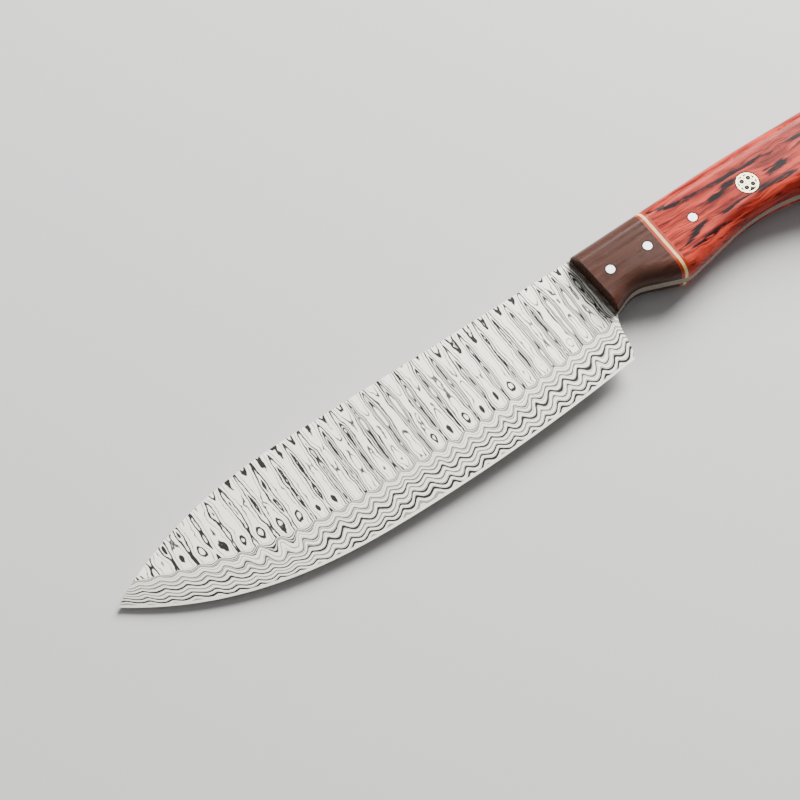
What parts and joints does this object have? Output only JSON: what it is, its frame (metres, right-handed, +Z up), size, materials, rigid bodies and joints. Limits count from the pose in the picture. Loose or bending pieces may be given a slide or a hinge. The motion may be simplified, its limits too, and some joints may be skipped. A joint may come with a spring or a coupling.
{
  "type": "chef knife",
  "caption": "Full-tang chef knife with a wide pattern-etched blade, wooden bolsters, layered spacers and red wooden scales held by pins.",
  "frame": {"origin": "on the surface the knife lies on, under the middle of its overall box", "axes": "+X towards the butt, +Y towards the spine, +Z up out of the left side; the tip points to -X and droops until it touches the surface"},
  "size_m": [0.3169, 0.0469, 0.0191],
  "materials": {
    "etched_steel": "layered steel, polished and acid etched so that the layers show",
    "bolster_wood": "dark reddish brown, fine grain, satin",
    "scale_wood": "dyed red layered wood with black streaks, glossy",
    "red_spacer": "red-orange fibre sheet, polished",
    "cream_spacer": "cream fibre sheet, polished",
    "pin_steel": "stainless rod, filed flush and polished",
    "wire_steel": "thin wire of dark steel, filed flush",
    "brass": "pale brass tube and rod, filed flush and polished",
    "black_resin": "black resin, polished flush"
  },
  "bodies": {
    "root": {"blade": "etched_steel", "front_bolster_pin": "pin_steel", "front_scale_pin": "pin_steel", "left_bolster": "bolster_wood", "left_front_spacer": "red_spacer", "left_middle_spacer": "cream_spacer", "left_rear_spacer": "red_spacer", "left_scale": "scale_wood", "mosaic_core_1": "black_resin", "mosaic_core_2": "black_resin", "mosaic_core_3": "black_resin", "mosaic_core_4": "black_resin", "mosaic_inner_tube_1": "brass", "mosaic_inner_tube_2": "brass", "mosaic_inner_tube_3": "brass", "mosaic_inner_tube_4": "brass", "mosaic_resin": "black_resin", "mosaic_rod_1": "brass", "mosaic_rod_2": "brass", "mosaic_rod_3": "brass", "mosaic_rod_4": "brass", "mosaic_tube": "brass", "mosaic_wire_1": "wire_steel", "mosaic_wire_2": "wire_steel", "mosaic_wire_3": "wire_steel", "mosaic_wire_4": "wire_steel", "rear_bolster_pin": "pin_steel", "rear_scale_pin": "pin_steel", "right_bolster": "bolster_wood", "right_front_spacer": "red_spacer", "right_middle_spacer": "cream_spacer", "right_rear_spacer": "red_spacer", "right_scale": "scale_wood"}
  },
  "joints": []
}
